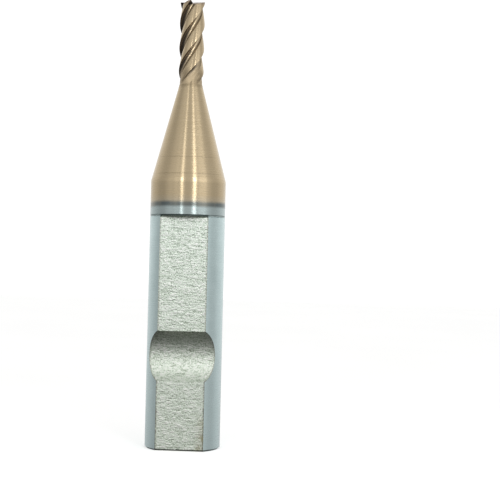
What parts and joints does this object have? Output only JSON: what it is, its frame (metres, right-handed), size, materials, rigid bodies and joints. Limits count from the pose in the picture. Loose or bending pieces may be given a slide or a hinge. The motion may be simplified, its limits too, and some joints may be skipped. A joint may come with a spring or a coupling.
{
  "type": "end mill",
  "caption": "Slim fluted cutting tool with a coated tapered head brazed to a round shank that has a clamping flat and a round locating notch.",
  "frame": {"origin": "centre of the shank's back face", "axes": "+Z along the tool's axis from the back face to the cutting tip, -Y out of the clamping flat"},
  "size_m": [0.0096, 0.0096, 0.0566],
  "materials": {
    "shank": "satin ground",
    "braze_joint": "dull silver solder",
    "cutting_head": "bronze-coloured hard coating"
  },
  "bodies": {
    "root": {"shank": "shank", "braze_joint": "braze_joint", "cutting_head": "cutting_head"}
  },
  "joints": []
}
